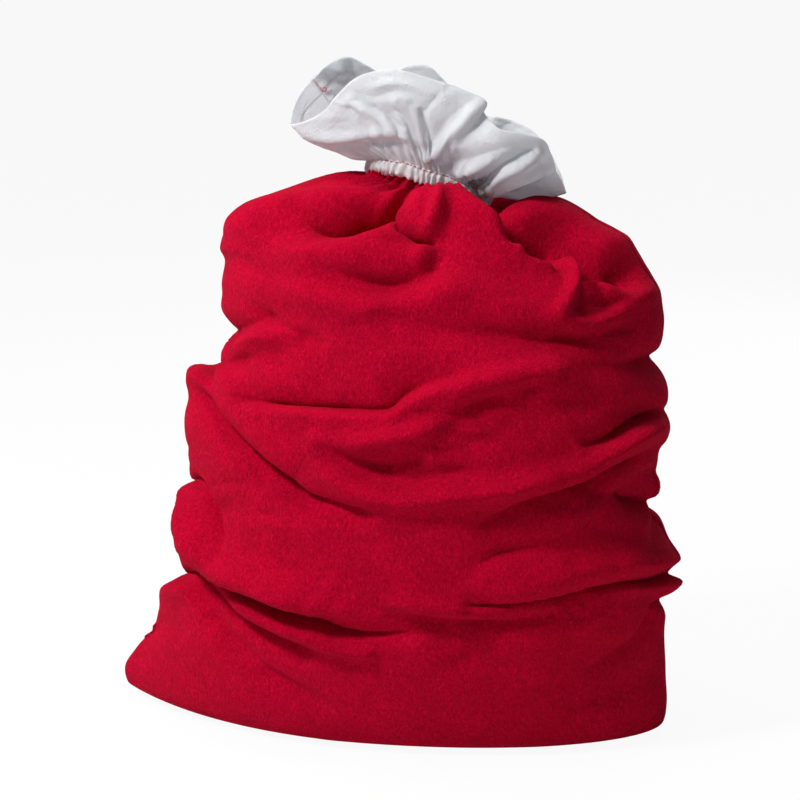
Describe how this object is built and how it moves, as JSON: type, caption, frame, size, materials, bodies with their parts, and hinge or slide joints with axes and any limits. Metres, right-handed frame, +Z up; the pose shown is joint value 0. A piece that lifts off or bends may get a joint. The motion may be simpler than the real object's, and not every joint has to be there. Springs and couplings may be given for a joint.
{
  "type": "fabric gift sack",
  "caption": "Stuffed red felt gift sack with a gathered throat and a flared white cotton cuff held in by an elastic in its casing.",
  "frame": {"origin": "middle of the sack's footprint, on the surface that it stands on", "axes": "+Z up, -Y towards the front panel, +X towards the side that the throat leans to"},
  "size_m": [0.6043, 0.3503, 0.7338],
  "materials": {
    "red_felt": "matt brushed felt",
    "red_thread": "spun sewing thread",
    "white_cotton": "matt plain weave cotton",
    "white_thread": "spun sewing thread",
    "elastic_webbing": "ribbed woven elastic"
  },
  "bodies": {
    "sack": {"front_felt_panel": "red_felt", "back_felt_panel": "red_felt", "left_seam_allowance": "red_felt", "right_seam_allowance": "red_felt", "bottom_seam_allowance": "red_felt", "left_overlock_thread": "red_thread", "right_overlock_thread": "red_thread", "bottom_overlock_thread": "red_thread"},
    "throat": {"lower_felt_gather": "red_felt"},
    "neck": {"upper_felt_gather": "red_felt", "elastic_band": "elastic_webbing", "left_cuff_seam": "white_cotton", "right_cuff_seam": "white_cotton"},
    "front_lip": {"front_casing": "white_cotton", "front_cuff_panel": "white_cotton", "front_casing_top_stitches": "red_thread", "front_casing_join_stitches": "red_thread", "front_hem_stitches": "white_thread"},
    "back_lip": {"back_casing": "white_cotton", "back_cuff_panel": "white_cotton", "back_casing_top_stitches": "red_thread", "back_casing_join_stitches": "red_thread", "back_hem_stitches": "white_thread", "elastic_lap_tacks": "white_thread"}
  },
  "joints": [
    {"name": "neck_sway", "type": "hinge", "parent": "sack", "child": "throat", "pos_m": [0.0203, 0, 0.5622], "axis": [0, 1, 0], "range_deg": [-18, 3], "stiffness_Nm_per_rad": 0.6},
    {"name": "neck_nod", "type": "hinge", "parent": "throat", "child": "neck", "pos_m": [0.0203, 0, 0.5622], "axis": [0.9397, 0, -0.342], "range_deg": [-8, 8], "stiffness_Nm_per_rad": 0.6},
    {"name": "front_lip_open", "type": "hinge", "parent": "neck", "child": "front_lip", "pos_m": [0.02988, -0.052, 0.58851], "axis": [0.9397, 0, -0.342], "range_deg": [0, 35], "stiffness_Nm_per_rad": 0.3, "deforming": ["elastic_band"]},
    {"name": "back_lip_open", "type": "hinge", "parent": "neck", "child": "back_lip", "pos_m": [0.02988, 0.052, 0.58851], "axis": [-0.9397, 0, 0.342], "range_deg": [0, 35], "stiffness_Nm_per_rad": 0.3, "deforming": ["elastic_band"]}
  ]
}
